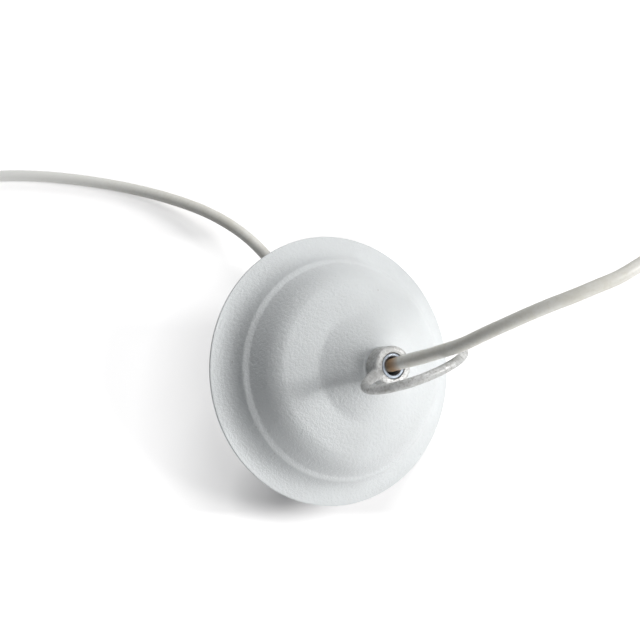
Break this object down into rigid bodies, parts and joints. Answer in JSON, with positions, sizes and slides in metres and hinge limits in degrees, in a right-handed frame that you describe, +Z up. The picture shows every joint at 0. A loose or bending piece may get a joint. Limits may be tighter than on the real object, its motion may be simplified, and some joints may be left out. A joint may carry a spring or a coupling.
{
  "type": "pendant lamp ceiling canopy with loop and flex",
  "caption": "Round stepped ceiling canopy with a beaded flange, an oval hanging loop screwed on its middle tube, and a flex through it that ends in a terminal block and a lampholder.",
  "frame": {"origin": "on the table, under the middle of the canopy's box as it lies tilted, without the flex and what is on it", "axes": "+Z up from the table, +X to the right as the lamp side of the flex leaves, +Y away, across the dish at its full width"},
  "size_m": [0.4788, 0.1648, 0.1208],
  "materials": {
    "canopy_paint": "white powder coat with fine texture, slightly soiled",
    "loop_paint": "white enamel on cast metal, dulled and stained",
    "tube_zinc": "zinc plated threaded tube",
    "zinc_hardware": "zinc plated washers and nuts",
    "bracket_steel": "zinc plated pressed strip",
    "earth_brass": "plain brass",
    "flex_sheath": "pale warm grey PVC sheath",
    "white_plastic": "moulded white plastic",
    "core_brown": "brown PVC insulation",
    "core_blue": "blue PVC insulation",
    "core_earth": "green and yellow PVC insulation",
    "block_plastic": "translucent white polyamide",
    "terminal_brass": "nickel-free brass tube",
    "screw_zinc": "zinc plated screws",
    "tie_plastic": "soft flat tie",
    "holder_ceramic": "glazed ceramic insert",
    "shell_brass": "thin brass shell"
  },
  "bodies": {
    "canopy": {"canopy_dish": "canopy_paint", "threaded_tube": "tube_zinc", "dish_washer": "zinc_hardware", "dish_toothed_washer": "zinc_hardware", "dish_nut": "zinc_hardware", "bracket_toothed_washer": "zinc_hardware", "bracket_nut": "zinc_hardware", "ceiling_bracket": "bracket_steel", "earth_screw": "earth_brass", "earth_cup_washer": "earth_brass", "earth_nut": "earth_brass", "cord_grip": "white_plastic", "cord_grip_screw": "white_plastic", "flex_in_tube": "flex_sheath", "mains_flex": "flex_sheath", "lamp_flex": "flex_sheath", "flex_tail": "flex_sheath", "flex_coil": "flex_sheath", "coil_tie": "tie_plastic", "core_brown": "core_brown", "core_earth": "core_earth", "core_blue": "core_blue", "terminal_block": "block_plastic", "terminal_tunnel_1": "terminal_brass", "terminal_tunnel_2": "terminal_brass", "terminal_tunnel_3": "terminal_brass", "holder_skirt": "white_plastic", "shade_ring": "white_plastic", "screw_shell": "shell_brass", "centre_contact": "shell_brass", "holder_insert": "holder_ceramic", "holder_cap": "white_plastic", "holder_grip": "white_plastic", "terminal_screw_1a": "screw_zinc", "terminal_screw_1b": "screw_zinc", "terminal_screw_2a": "screw_zinc", "terminal_screw_2b": "screw_zinc", "terminal_screw_3a": "screw_zinc", "terminal_screw_3b": "screw_zinc"},
    "loop": {"hanging_loop": "loop_paint"}
  },
  "joints": [
    {"name": "loop_turn", "type": "hinge", "parent": "canopy", "child": "loop", "pos_m": [0.0205, -0.00686, 0.06739], "axis": [0.467, -0.1562, 0.8704], "range_deg": [-140, 0]}
  ]
}
